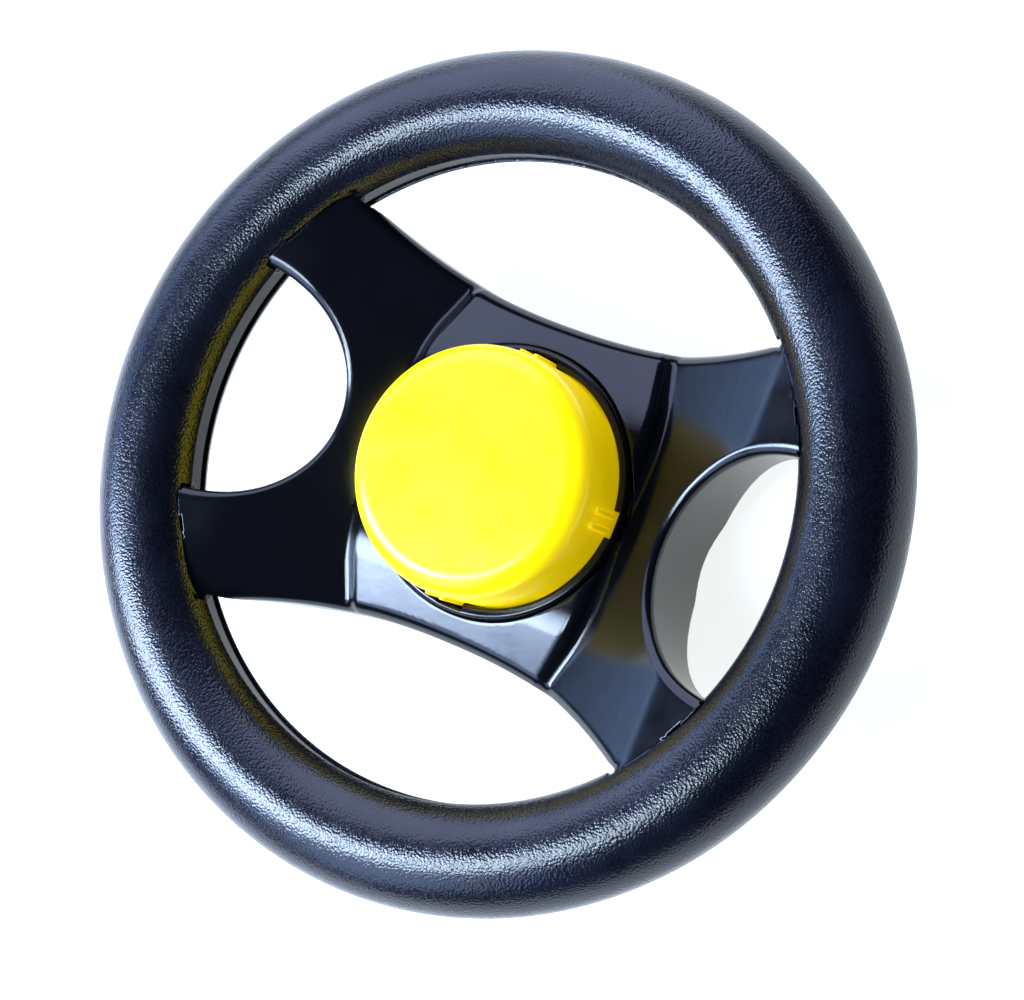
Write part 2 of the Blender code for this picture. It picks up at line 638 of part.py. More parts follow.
def make_back_cover(material, parent):
    """The disc that closes the hub's hollow, screwed on from behind."""
    low = BEARING_LEVEL + GAP
    profile = [
        (COVER_HOLE, low),
        (CAVITY_RADIUS - 1.5, low),
        (CAVITY_RADIUS - 0.5, low + 1),
        (CAVITY_RADIUS - 0.5, COVER_SEAT - GAP),
        (COVER_HOLE, COVER_SEAT - GAP),
    ]
    cover = finish("back_cover", turned(profile))
    for angle in around(SCREW_COUNT, math.pi / 4):
        centre = on_circle(COVER_SCREW_CIRCLE, angle)
        cut(cover, cylinder(SCREW_RADIUS + GAP, 0, 90, FINE_ROUND, centre))
        cut(cover, cylinder(SCREW_HEAD + GAP, 0, low + COVER_HEAD_SINK, FINE_ROUND, centre))
    return dress(cover, material, parent)


def make_screw(name, head_seat, tip, centre, material, parent):
    """A pan-head screw parallel to the axis, with a cross recess; its head is on the head_seat side."""
    up = 1 if head_seat > tip else -1
    head = head_seat + up * HEAD_HEIGHT
    profile = [
        (0, tip),
        (SCREW_RADIUS, tip),
        (SCREW_RADIUS, head_seat),
        (SCREW_HEAD, head_seat),
        (SCREW_HEAD - 0.6, head),
        (0, head),
    ]
    screw = finish(name, turned(profile, FINE_ROUND))
    for half in ((1.7, 0.35), (0.35, 1.7)):
        slot = sorted((head - up * 1.0, head + up * 1.0))
        cut(screw, box((-half[0], -half[1], slot[0]), (half[0], half[1], slot[1])))
    dress(screw, material, parent)
    screw.location.x, screw.location.y = centre[0] * 0.001, centre[1] * 0.001
    return screw


def main():
    clear_scene()
    black = new_material("black_gloss_plastic", (0.012, 0.013, 0.018), 0.16)
    grain = new_material("black_grained_grip", (0.02, 0.022, 0.03), 0.48)
    yellow = new_material("yellow_plastic", (1.0, 0.82, 0.0), 0.24)
    nylon = new_material("white_nylon", (0.8, 0.79, 0.74), 0.45)
    rubber = new_material("red_rubber", (0.35, 0.03, 0.02), 0.55)
    steel = new_material("steel", (0.55, 0.55, 0.56), 0.3, 1.0)
    zinc = new_material("zinc_plated_steel", (0.62, 0.64, 0.66), 0.34, 1.0)
    spring_steel = new_material("spring_steel", (0.4, 0.4, 0.42), 0.3, 1.0)

    wheel_axis = new_axis("wheel_axis", RIM_HEIGHT)
    horn_axis = new_axis("horn_axis", BEZEL_TOP, wheel_axis)

    make_base(black, None)
    make_axle(steel, zinc, None)
    make_spider(black, wheel_axis)
    make_grip(grain, wheel_axis)
    make_bushes(nylon, wheel_axis)
    make_back_cover(black, wheel_axis)
    make_bezel(black, wheel_axis)
    make_horn_base(black, wheel_axis)
    make_reed(nylon, wheel_axis)
    make_bellows(rubber, wheel_axis)
    make_spring(spring_steel, wheel_axis)
    make_cap(yellow, horn_axis)
    cover_seat = BEARING_LEVEL + COVER_HEAD_SINK
    horn_seat = WELL_FLOOR + HORN_FOOT + 2 * GAP
    for i, angle in enumerate(around(SCREW_COUNT, math.pi / 4), start=1):
        centre = on_circle(COVER_SCREW_CIRCLE, angle)
        make_screw(f"cover_screw_{i}", cover_seat, COVER_SCREW_TIP, centre, zinc, wheel_axis)
    for i, angle in enumerate(around(SCREW_COUNT), start=1):
        centre = on_circle(HORN_SCREW_CIRCLE, angle)
        make_screw(f"horn_base_screw_{i}", horn_seat, HORN_SCREW_END, centre, zinc, wheel_axis)


main()
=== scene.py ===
"""Looks of the play steering wheel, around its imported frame.

Shapes are worked out in millimetres, in the frame's axes, and scaled to metres as they become
meshes. Moulded pieces are level sets of a distance field, so their edges are truly rounded.
"""

import math

import bpy
import numpy as np
from mathutils import Matrix, Quaternion, Vector


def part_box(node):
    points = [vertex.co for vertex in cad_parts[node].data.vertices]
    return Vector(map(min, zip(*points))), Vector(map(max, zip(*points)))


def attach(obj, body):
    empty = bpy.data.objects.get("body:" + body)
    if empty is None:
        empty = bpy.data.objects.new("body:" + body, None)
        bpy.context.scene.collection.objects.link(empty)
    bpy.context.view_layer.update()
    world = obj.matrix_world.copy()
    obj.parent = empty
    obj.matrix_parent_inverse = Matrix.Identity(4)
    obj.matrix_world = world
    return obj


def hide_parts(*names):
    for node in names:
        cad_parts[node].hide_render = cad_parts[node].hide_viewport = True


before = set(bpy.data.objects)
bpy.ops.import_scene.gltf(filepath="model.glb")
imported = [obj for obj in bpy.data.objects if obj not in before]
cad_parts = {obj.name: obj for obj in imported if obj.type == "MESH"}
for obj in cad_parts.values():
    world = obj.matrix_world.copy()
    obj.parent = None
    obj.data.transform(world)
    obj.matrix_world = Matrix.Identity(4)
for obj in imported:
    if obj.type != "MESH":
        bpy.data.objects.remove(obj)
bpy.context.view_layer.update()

MM = 0.001


def corners(node):
    """Lowest and highest corner of a node, in millimetres."""
    low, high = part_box(node)
    return np.array(low) / MM, np.array(high) / MM


# Sizes from the frame, in millimetres
grip_low, grip_high = corners("rim_grip")
RIM_HEIGHT = (grip_low[2] + grip_high[2]) / 2
WHEEL_RADIUS = grip_high[0]
RIM_HALF_DEPTH = (grip_high[2] - grip_low[2]) / 2
HUB_BACK = corners("wheel_spider")[0][2] - RIM_HEIGHT
KEY_OUTER = corners("wheel_spider")[1][0]
CAP_BOTTOM, CAP_TOP = corners("horn_cap")[0][2], corners("horn_cap")[1][2]
BEZEL_BOTTOM, BEZEL_TOP = corners("horn_bezel")[0][2], corners("horn_bezel")[1][2]
BEZEL_OUTER = corners("horn_bezel")[1][0]

# The shapes of the spider and the grip, with heights over the rim's middle plane
RING_RADIUS, RING_OUTER, RING_FRONT, RING_BACK = 113.0, 122.5, 9.5, -4.0
STEP_RADIUS, SKIN_EDGE, TENON_TOP = 115.5, 4.5, 9.0
KEY_FRONT, KEY_BACK = 7.0, 1.0
SPOKE_REACH, SPOKE_SLOPE, SPOKE_ZERO, SPOKE_TOP = 121.0, 0.55, -41.9, 12.5
SPOKE_BACK = 4.4
BACK_LINE = ((0.0, HUB_BACK), (70.0, HUB_BACK), (113.8, SPOKE_BACK), (140.0, SPOKE_BACK))
PLATEAU_TOP, FACET_START, FACET_FALL = -10.5, 37.0, 0.29
CREASE_X, CREASE_LEAN, CREASE_DROP = 44.6, 0.28, 1.11
SMALL_CENTRE, SMALL_RADIUS = 108.4, 42.2
LARGE_NEAR, LARGE_FAR, LARGE_END, LARGE_BEND = 59.2, 76.3, 83.0, 2.3
EDGE_ROUND, CREASE_ROUND, VALLEY_ROUND, CORNER_ROUND = 4.4, 1.6, 2.4, 3.0
SPOKE_TOP_ROUND, BACK_ROUND, RIM_FILLET = 8.0, 1.2, 2.6
WALL, POCKET_START, POCKET_REACH, POCKET_RIBS, POCKET_RIB = 3.4, 51.0, 110.6, (68.0, 88.0), 2.5
CROWN, GRIP_INNER, INNER_FULLNESS = 130.4, 111.4, 2.05

# The hub's hollows, with heights from the underside of the base
WELL_RADIUS, WELL_FLOOR, SEAT_RADIUS, SEAT_FLOOR = 46.2, 36.0, 48.5, 45.0
CAVITY_RADIUS, CAVITY_TOP, COVER_SEAT = 47.0, 32.0, 23.0
TUBE_RADIUS, TUBE_BORE, TUBE_BOTTOM, HUB_RIB = 17.0, 11.0, 21.2, 2.4
COVER_SCREW_CIRCLE, HORN_SCREW_CIRCLE, BOSS = 38.0, 33.5, 4.5
WELL_ROUND, HOLLOW_ROUND = 0.9, 0.7

# The cap and its bezel, with heights from the underside of the base
CAP_RADIUS, CAP_DOME, CAP_SHOULDER, CAP_WALL = 43.6, 0.7, 7.7, 2.8
RIB_WIDTH, RIB_PROUD, RIB_PITCH, RIB_TOP, RIB_BOTTOM = 2.0, 1.4, 5.5, 65.0, 47.0
LUG_REACH, LUG_HEIGHT, LUG_WIDTH = 45.5, 2.9, 10.0
# the cap's painted glow: emission strength that lightens its shaded sides
CAP_PAINTED_GLOW = 0.4
BEZEL_INNER, BEZEL_ROUND, KEYWAY_RADIUS, KEYWAY_WIDTH = 44.3, 1.3, 46.6, 9.4
GAP, ROOT_DEPTH = 0.3, 1.5  # the play between pieces, and how deep a rib or lug is rooted

# The steps of the grids that the surfaces are found on
SPIDER_CELL, GRIP_CELLS, CAP_CELL, BEZEL_CELL = 1.0, (0.85, 0.9), 0.7, 0.4
SPIDER_TURNS, GRIP_TURNS, BEZEL_TURNS = 150, 160, 120

# The camera in metres (its lens in millimetres), the lights round the wheel, the sky and the floor
LENS, SENSOR = 96.3, 36.0
CAMERA_X, CAMERA_Y, CAMERA_Z = 0.3924, -0.00445, 0.9123
AIM_X, CAMERA_ROLL = 0.01205, -68.65
LIGHT_DISTANCE = 1.5
COOL = (0.6, 0.75, 1.0)
SOFTBOXES = (  # name, azimuth, elevation, width, length, radiance, colour
    ("strip_low", 207, 29, 0.4, 0.6, 22.0, COOL),
    ("strip_middle", 219, 50, 0.5, 0.58, 31.0, COOL),
    ("strip_top", 252, 66, 0.36, 0.45, 22.0, (0.72, 0.87, 1.0)),
    ("far_wall", 130, 32, 1.9, 1.4, 3.2, (0.62, 0.7, 1.0)),
    ("near_wall", 250, 34, 1.0, 1.0, 3.6, (0.5, 0.65, 1.0)),
    ("backdrop", 180, 17, 1.0, 0.26, 3.6, (0.4, 0.6, 1.0)),
)
SKY_LOW, SKY_HIGH, SKY_RISE = (0.45, 0.5, 0.62), (0.03, 0.04, 0.09), 0.3
FLOOR_HALF = 3.0


# Distance fields: negative inside. Every function takes and gives arrays in millimetres.


def round_and(a, b, radius):
    """What two solids share, with the edge between them rounded."""
    corner = np.hypot(np.maximum(a + radius, 0), np.maximum(b + radius, 0))
    return np.minimum(np.maximum(a, b), -radius) + corner


def round_or(a, b, radius):
    """Two solids as one, with the inner corner between them filled."""
    return -round_and(-a, -b, radius)


def round_cut(a, b, radius):
    return round_and(a, -b, radius)


def between(value, low, high, radius=0.0, other=None):
    """The slab from low to high; with another solid, the part of it within the slab."""
    slab = np.maximum(low - value, value - high)
    return slab if other is None else round_and(other, slab, radius)


def small_opening(x, y, grow=0.0):
    """Plan of an opening on the X axis, out to the ring."""
    return np.hypot(x - SMALL_CENTRE, y) - SMALL_RADIUS + grow


def large_opening(x, y, grow=0.0):
    """Plan of an opening on the Y axis, out to the ring."""
    rise = (LARGE_FAR - LARGE_NEAR) * (x / LARGE_END) ** LARGE_BEND
    slope = LARGE_BEND * (LARGE_FAR - LARGE_NEAR) / LARGE_END * (x / LARGE_END) ** (LARGE_BEND - 1)
    return (LARGE_NEAR + grow + rise - y) / np.hypot(1, slope)


def spoke_plan(x, y, shrink=0.0):
    """Negative over the hub and the spokes, and positive over the openings."""
    return -np.minimum(small_opening(x, y, -shrink), large_opening(x, y, -shrink))


def front_faces(x, y, z):
    """Everything below the hub's plateau and below the spokes' rising faces."""
    face = (z - SPOKE_ZERO - SPOKE_SLOPE * x) / math.hypot(1, SPOKE_SLOPE)
    spokes = round_and(face, z - SPOKE_TOP, SPOKE_TOP_ROUND)
    facet = (z - PLATEAU_TOP + FACET_FALL * (y - FACET_START)) / math.hypot(1, FACET_FALL)
    top = round_and(z - PLATEAU_TOP, facet, CREASE_ROUND)
    steep = (CREASE_DROP * (x - CREASE_X) + z - PLATEAU_TOP) / math.hypot(1, CREASE_DROP)
    lean = CREASE_LEAN * CREASE_DROP + FACET_FALL
    turned = CREASE_DROP * (x - CREASE_X) + lean * (y - FACET_START) + z - PLATEAU_TOP
    side = round_and(steep, turned / math.sqrt(1 + CREASE_DROP**2 + lean**2), CORNER_ROUND)
    plateau = round_and(top, side, CREASE_ROUND)
    return round_or(spokes, plateau, VALLEY_ROUND)


def behind_bowl(radius, z):
    """Everything in front of the spider's back: a flat hub, a cone and level spoke ends."""
    hub, cone, ends = (
        ((z1 - z0) * (radius - r0) - (r1 - r0) * (z - z0)) / math.hypot(r1 - r0, z1 - z0)
        for (r0, z0), (r1, z1) in zip(BACK_LINE, BACK_LINE[1:])
    )
    return round_or(round_and(hub, cone, 2.0), ends, 2.0)


def oval(radius, z):
    """The grip's section: an ellipse outside its highest line, and a little fuller inside it."""
    outside = radius > CROWN
    width = np.where(outside, WHEEL_RADIUS - CROWN, CROWN - GRIP_INNER)
    power = np.where(outside, 2.0, INNER_FULLNESS)
    across, up = np.abs(radius - CROWN) / width, np.abs(z) / RIM_HALF_DEPTH
    size = np.maximum(across**power + up**power, 1e-9) ** (1 / power)
    across, up = across / size, up / size
    steepness = np.hypot(across ** (power - 1) / width, up ** (power - 1) / RIM_HALF_DEPTH)
    return (size - 1) / steepness


def ring(radius, z):
    """The spider's ring, with the key that locks it into the grip."""
    foot = between(z, RING_BACK, SKIN_EDGE - GAP, 0.8, RING_RADIUS - radius)
    bar = np.minimum(foot, between(z, RING_BACK, RING_FRONT, 0.4, STEP_RADIUS - radius))
    bar = round_and(bar, radius - RING_OUTER, 0.2)
    key = between(z, KEY_BACK, KEY_FRONT, 0.5, between(radius, RING_OUTER - 3, KEY_OUTER))
    return np.minimum(bar, key)


def hub_hollow(x, y, radius, z):
    """The hub's back: a hollow round the bearing tube, with ribs and screw bosses standing in it."""
    hollow = np.maximum(radius - CAVITY_RADIUS, z - CAVITY_TOP)
    tube = np.maximum(radius - TUBE_RADIUS, TUBE_BOTTOM - z)
    half = HUB_RIB / 2
    ribs = np.minimum(np.minimum(x, y), np.abs(x - y) / math.sqrt(2)) - half
    diagonal = COVER_SCREW_CIRCLE / math.sqrt(2)
    bosses = np.minimum(
        np.hypot(x - diagonal, y - diagonal),
        np.minimum(np.hypot(x - HORN_SCREW_CIRCLE, y), np.hypot(x, y - HORN_SCREW_CIRCLE)),
    )
    standing = np.maximum(np.minimum(ribs, bosses - BOSS), COVER_SEAT - z)
    hollow = round_cut(hollow, tube, 0.6)
    return round_cut(hollow, standing, 0.6)


def spider(x, y, height):
    """The spider. It is the same on both sides of X and of Y."""
    x, y = np.abs(x), np.abs(y)
    z = height - RIM_HEIGHT
    radius = np.hypot(x, y)
    front = front_faces(x, y, z)
    solid = round_and(front, spoke_plan(x, y), EDGE_ROUND)
    solid = round_and(solid, behind_bowl(radius, z), BACK_ROUND)
    solid = round_and(solid, radius - SPOKE_REACH, 0.5)
    solid = round_cut(solid, np.maximum(oval(radius, z) - GAP, TENON_TOP - z), 0.4)
    pocket = np.maximum(front + WALL, spoke_plan(x, y, WALL))
    pocket = np.maximum(pocket, between(radius, POCKET_START, POCKET_REACH))
    for rib in POCKET_RIBS:
        pocket = np.maximum(pocket, -between(radius, rib, rib + POCKET_RIB))
    solid = round_or(solid, ring(radius, z), RIM_FILLET)
    solid = round_cut(solid, pocket, HOLLOW_ROUND)
    solid = round_cut(solid, hub_hollow(x, y, radius, height), HOLLOW_ROUND)
    solid = round_cut(solid, radius - TUBE_BORE, 0.5)
    well = np.maximum(radius - WELL_RADIUS, WELL_FLOOR - height)
    seat = np.maximum(radius - SEAT_RADIUS, SEAT_FLOOR - height)
    return round_cut(solid, np.minimum(well, seat), WELL_ROUND)


def grip(x, y, height):
    """The grip, moulded over the ring. The ring's inner wall shows in a groove that the spokes enter."""
    x, y = np.abs(x), np.abs(y)
    z = height - RIM_HEIGHT
    radius = np.hypot(x, y)
    groove = between(z, RING_BACK - GAP, SKIN_EDGE, 0.0, radius - RING_OUTER - GAP)
    channel = between(z, RING_BACK - GAP, RING_FRONT + GAP, 0.0, radius - RING_OUTER - GAP)
    channel = np.maximum(channel, STEP_RADIUS - GAP - radius)
    key = between(z, KEY_BACK - GAP, KEY_FRONT + GAP, 0.0, radius - KEY_OUTER - GAP)
    key = np.maximum(key, STEP_RADIUS - radius)
    entry = np.maximum(spoke_plan(x, y, -GAP), radius - SPOKE_REACH)
    entry = np.maximum(entry, between(z, SPOKE_BACK - 2 * GAP, TENON_TOP + GAP))
    hollow = np.minimum(np.minimum(groove, channel), np.minimum(key, entry))
    return round_cut(oval(radius, z), hollow, 0.5)


def cap(x, y, height):
    """The push horn's cap, hollow, with its guide ribs and lugs."""
    x, y = np.abs(x), np.abs(y)
    radius = np.hypot(x, y)
    dome = height - CAP_TOP + CAP_DOME * (radius / CAP_RADIUS) ** 2
    outside = round_and(radius - CAP_RADIUS, dome, CAP_SHOULDER)
    inside = round_and(radius - CAP_RADIUS + CAP_WALL, dome + CAP_WALL, CAP_SHOULDER - CAP_WALL)
    solid = outside
    far, near = np.maximum(x, y), np.minimum(x, y)
    rib = between(near, (RIB_PITCH - RIB_WIDTH) / 2, (RIB_PITCH + RIB_WIDTH) / 2)
    rib = round_and(rib, far - CAP_RADIUS - RIB_PROUD, 0.6)
    rib = between(height, RIB_BOTTOM, RIB_TOP, 0.6, rib)
    rib = np.maximum(rib, CAP_RADIUS - ROOT_DEPTH - radius)
    solid = round_or(solid, rib, 0.6)
    along, aside = (x + y) / math.sqrt(2), np.abs(x - y) / math.sqrt(2)
    lug = round_and(aside - LUG_WIDTH / 2, along - LUG_REACH, 0.5)
    lug = between(height, CAP_BOTTOM, CAP_BOTTOM + LUG_HEIGHT, 0.4, lug)
    solid = round_or(solid, np.maximum(lug, CAP_RADIUS - ROOT_DEPTH - radius), 0.4)
    return between(height, CAP_BOTTOM, CAP_TOP + 5, 0.5, round_cut(solid, inside, 0.5))


def bezel(x, y, height):
    """The ring round the cap, with keyways for the ribs."""
    x, y = np.abs(x), np.abs(y)
    radius = np.hypot(x, y)
    band = between(radius, BEZEL_INNER, BEZEL_OUTER)
    solid = between(height, BEZEL_BOTTOM, BEZEL_TOP, BEZEL_ROUND, band)
    keyway = np.maximum(np.minimum(x, y) - KEYWAY_WIDTH / 2, np.maximum(x, y) - KEYWAY_RADIUS)
    return round_cut(solid, keyway, 0.4)


# Meshes


def gradient(field, points, reach):
    """Slope of a field at the points, measured over a small distance."""
    slope = np.empty_like(points)
    for axis in range(3):
        step = np.zeros(3)
        step[axis] = reach
        ahead, behind = field(*(points + step).T), field(*(points - step).T)
        slope[:, axis] = (ahead - behind) / (2 * reach)
    return slope


def polar(radius, angle, height):
    return radius * np.cos(angle), radius * np.sin(angle), height


def plain(x, y, height):
    return x, y, height


def surface_net(field, lines, place):
    """Quads where the field changes sign, with one point in each grid cell that the surface crosses."""
    grid = np.meshgrid(*lines, indexing="ij")
    value = field(*place(*grid))
    inside = value < 0
    cells = tuple(n - 1 for n in value.shape)
    total, count, quads = np.zeros((*cells, 3)), np.zeros(cells), []
    for axis in range(3):
        low = [slice(None)] * 3
        high = [slice(None)] * 3
        low[axis], high[axis] = slice(None, -1), slice(1, None)
        low, high = tuple(low), tuple(high)
        at = np.argwhere(inside[low] != inside[high])
        a, b = value[low][tuple(at.T)], value[high][tuple(at.T)]
        share = a / (a - b)
        crossing = np.stack([lines[k][at[:, k]] for k in range(3)], 1)
        step = lines[axis][at[:, axis] + 1] - lines[axis][at[:, axis]]
        crossing[:, axis] += share * step
        first, second = (axis + 1) % 3, (axis + 2) % 3
        whole = np.ones(len(at), bool)
        around = []
        for move_first, move_second in ((-1, -1), (0, -1), (0, 0), (-1, 0)):
            cell = at.copy()
            cell[:, first] += move_first
            cell[:, second] += move_second
            fits = ((cell >= 0) & (cell < cells)).all(1)
            whole &= fits
            np.add.at(total, tuple(cell[fits].T), crossing[fits])
            np.add.at(count, tuple(cell[fits].T), 1)
            around.append(np.where(fits[:, None], cell, 0))
        flip = a > 0
        corners_of = [np.ravel_multi_index(tuple(c.T), cells) for c in around]
        quad = np.stack(corners_of, 1)
        quad[flip] = quad[flip][:, ::-1]
        quads.append(quad[whole])
    used = np.flatnonzero(count)
    number = np.zeros(count.size, int)
    number[used] = np.arange(len(used))
    points = total.reshape(-1, 3)[used] / count.reshape(-1)[used][:, None]
    return np.stack(place(*points.T), 1), number[np.concatenate(quads)]


def mirrored(points, quads):
    """The quarter in front of X and Y, copied to the other three quarters and sewn up."""
    points[np.abs(points) < 1e-6] = 0.0
    every_point, every_quad = [], []
    for turn, (across, along) in enumerate(((1, 1), (-1, 1), (1, -1), (-1, -1))):
        every_point.append(points * (across, along, 1))
        copy = quads + turn * len(points)
        every_quad.append(copy if across * along > 0 else copy[:, ::-1])
    rounded = np.round(np.concatenate(every_point), 5) + 0.0
    points, index = np.unique(rounded, axis=0, return_inverse=True)
    return points, index.reshape(-1)[np.concatenate(every_quad)]


def mould(name, field, lines, place, body, nodes):
    """A piece from a field, whose points are moved onto the surface, with the field's own normals."""
    points, quads = surface_net(field, lines, place)
    for _ in range(5):
        slope = gradient(field, points, 0.02)
        size = np.maximum((slope**2).sum(1), 0.2)
        move = (field(*points.T) / size)[:, None] * slope
        length = np.linalg.norm(move, axis=1, keepdims=True)
        points = points - move * np.minimum(1, 0.5 / np.maximum(length, 1e-9))
    points, quads = mirrored(points, quads)
    normals = gradient(field, points, 0.25)
    normals /= np.maximum(np.linalg.norm(normals, axis=1, keepdims=True), 1e-9)
    mesh = bpy.data.meshes.new(name)
    mesh.from_pydata((points * MM).tolist(), [], quads.tolist())
    mesh.shade_smooth()
    mesh.normals_split_custom_set_from_vertices(normals.tolist())
    return settle(bpy.data.objects.new(name, mesh), body, nodes)


def settle(made, body, nodes):
    """Links a piece, hangs it on the empty of the body it rides on and hides the frame's parts that it
    replaces.
    """
    bpy.context.scene.collection.objects.link(made)
    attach(made, body)
    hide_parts(*nodes)
    return made


def steps(low, high, size):
    return np.linspace(low, high, int(math.ceil((high - low) / size)) + 1)


def quarter(count):
    """Grid angles over a quarter turn, with a cell across each of its two ends."""
    return (np.arange(count + 2) - 0.5) * math.pi / 2 / count


def from_middle(high, size):
    """Grid lines from the middle plane outwards, with a cell across the plane itself."""
    return (np.arange(int(high / size) + 3) - 0.5) * size


# Materials


class Nodes:
    """A material under construction, with short ways to add the nodes that it needs."""

    def __init__(self, name):
        self.material = bpy.data.materials.new(name)
        self.material.use_nodes = True
        self.tree = self.material.node_tree
        self.shader = self.tree.nodes["Principled BSDF"]
        self.place = self.add("ShaderNodeTexCoord").outputs["Object"]

    def add(self, kind, **settings):
        node = self.tree.nodes.new(kind)
        for key, value in settings.items():
            setattr(node, key, value)
        return node

    def link(self, source, target):
        self.tree.links.new(source, target)

    def noise(self, scale, detail=3.0, roughness=0.5):
        node = self.add("ShaderNodeTexNoise")
        node.inputs["Scale"].default_value = scale
        node.inputs["Detail"].default_value = detail
        node.inputs["Roughness"].default_value = roughness
        self.link(self.place, node.inputs["Vector"])
        return node.outputs["Fac"]

    def cells(self, scale, smooth=0.6):
        node = self.add("ShaderNodeTexVoronoi", feature="SMOOTH_F1")
        node.inputs["Scale"].default_value = scale
        node.inputs["Smoothness"].default_value = smooth
        self.link(self.place, node.inputs["Vector"])
        return node.outputs["Distance"]

    def spread(self, value, low, high, start=0.0, end=1.0):
        node = self.add("ShaderNodeMapRange")
        node.inputs["From Min"].default_value = low
        node.inputs["From Max"].default_value = high
        node.inputs["To Min"].default_value = start
        node.inputs["To Max"].default_value = end
        self.link(value, node.inputs["Value"])
        return node.outputs["Result"]

    def math(self, operation, a, b):
        node = self.add("ShaderNodeMath", operation=operation)
        for socket, value in zip(node.inputs, (a, b)):
            if isinstance(value, (int, float)):
                socket.default_value = value
            else:
                self.link(value, socket)
        return node.outputs[0]

    def mix(self, share, first, second):
        """Blends two colours; either may be a plain colour or another blend."""
        node = self.add("ShaderNodeMix", data_type="RGBA")
        self.link(share, node.inputs["Factor"])
        for socket, value in ((node.inputs[6], first), (node.inputs[7], second)):
            if isinstance(value, tuple):
                socket.default_value = (*value, 1.0)
            else:
                self.link(value, socket)
        return node.outputs[2]

    def edges(self, low=0.53, high=0.6):
        """From 0 to 1 on the rounded outer edges, where hands and handling wear the surface."""
        return self.spread(self.add("ShaderNodeNewGeometry").outputs["Pointiness"], low, high)

    def bump(self, *layers):
        """Bumps from (height, depth in metres), laid over each other."""
        normal = None
        for height, depth in layers:
            node = self.add("ShaderNodeBump")
            node.inputs["Distance"].default_value = depth
            self.link(height, node.inputs["Height"])
            if normal is not None:
                self.link(normal, node.inputs["Normal"])
            normal = node.outputs["Normal"]
        self.link(normal, self.shader.inputs["Normal"])

    def set(self, **values):
        for name, value in values.items():
            self.shader.inputs[name.replace("_", " ")].default_value = value

    def drive(self, name, source):
        self.link(source, self.shader.inputs[name])


def moulded_plastic(name, colour, worn, roughness, spread=0.08, depth=1.5e-5, painted_glow=None):
    """Moulded plastic: faint flow marks, slight unevenness and paler handled edges.

    A painted glow stands in for the light that passes through a bright plastic: an even emission that
    lightens its shaded sides.
    """
    made = Nodes(name)
    blotches = made.noise(22.0, 4.0)
    tint = made.mix(made.spread(blotches, 0.35, 0.65), colour, tuple(c * 1.35 for c in colour))
    wear = made.math("MULTIPLY", made.edges(), made.spread(made.noise(160.0, 4.0), 0.45, 0.7))
    made.drive("Base Color", made.mix(wear, tint, worn))
    low, high = roughness - spread / 2, roughness + spread / 2
    uneven = made.spread(made.noise(60.0, 5.0, 0.6), 0.3, 0.7, low, high)
    made.drive("Roughness", made.math("ADD", uneven, made.math("MULTIPLY", wear, 0.15)))
    made.bump((made.noise(260.0, 2.0), depth), (made.noise(1900.0, 2.0), depth * 0.25))
    # painted light: the plastic glows though it is no lamp
    if painted_glow:
        made.set(Emission_Color=(*painted_glow, 1.0), Emission_Strength=CAP_PAINTED_GLOW)
    return made.material


def grained_skin(name):
    """The grip's soft skin: round pebbles about a millimetre across, with painted shade in the valleys
    between them and a painted highlight on their crowns.
    """
    made = Nodes(name)
    pebbles = made.cells(1150.0)
    fine = made.noise(2600.0, 2.0)
    height = made.math("SUBTRACT", made.math("MULTIPLY", fine, 0.35), pebbles)
    blotches = made.noise(35.0, 4.0)
    # painted shade in the pebbles' valleys and a painted highlight on their crowns, set by the grain's
    # height
    painted_valley_shade, painted_crown_highlight = (0.003, 0.0035, 0.006), (0.008, 0.0095, 0.017)
    tint = made.mix(made.spread(height, -0.55, 0.15), painted_valley_shade, painted_crown_highlight)
    rubbed = made.mix(made.spread(blotches, 0.4, 0.75), tint, (0.011, 0.0125, 0.021))
    made.drive("Base Color", rubbed)
    made.drive("Roughness", made.spread(made.noise(90.0, 4.0), 0.3, 0.7, 0.17, 0.25))
    made.bump((height, 1.2e-4))
    made.set(Specular_IOR_Level=0.55)
    return made.material


def brushed_metal(name, colour, roughness):
    """Turned or plated steel, with fine marks, duller patches and brighter edges."""
    made = Nodes(name)
    patches = made.noise(180.0, 4.0)
    tint = made.mix(made.spread(patches, 0.35, 0.65), tuple(c * 0.82 for c in colour), colour)
    bright = tuple(min(1.0, c * 1.25) for c in colour)
    made.drive("Base Color", made.mix(made.edges(), tint, bright))
    low, high = roughness - 0.07, roughness + 0.09
    made.drive("Roughness", made.spread(made.noise(700.0, 3.0), 0.3, 0.7, low, high))
    made.bump((made.noise(3200.0, 2.0), 8e-6))
    made.set(Metallic=1.0)
    return made.material


def soft_rubber(name, colour):
    """Matt rubber with a dusty bloom."""
    made = Nodes(name)
    bloom = made.spread(made.noise(120.0, 5.0), 0.4, 0.7)
    dusty = tuple(min(1.0, c * 1.5 + 0.02) for c in colour)
    made.drive("Base Color", made.mix(bloom, colour, dusty))
    made.drive("Roughness", made.spread(made.noise(400.0, 3.0), 0.3, 0.7, 0.5, 0.7))
    made.bump((made.noise(1500.0, 3.0), 3e-5))
    return made.material


def dress(piece, material):
    piece.data.materials.clear()
    piece.data.materials.append(material)


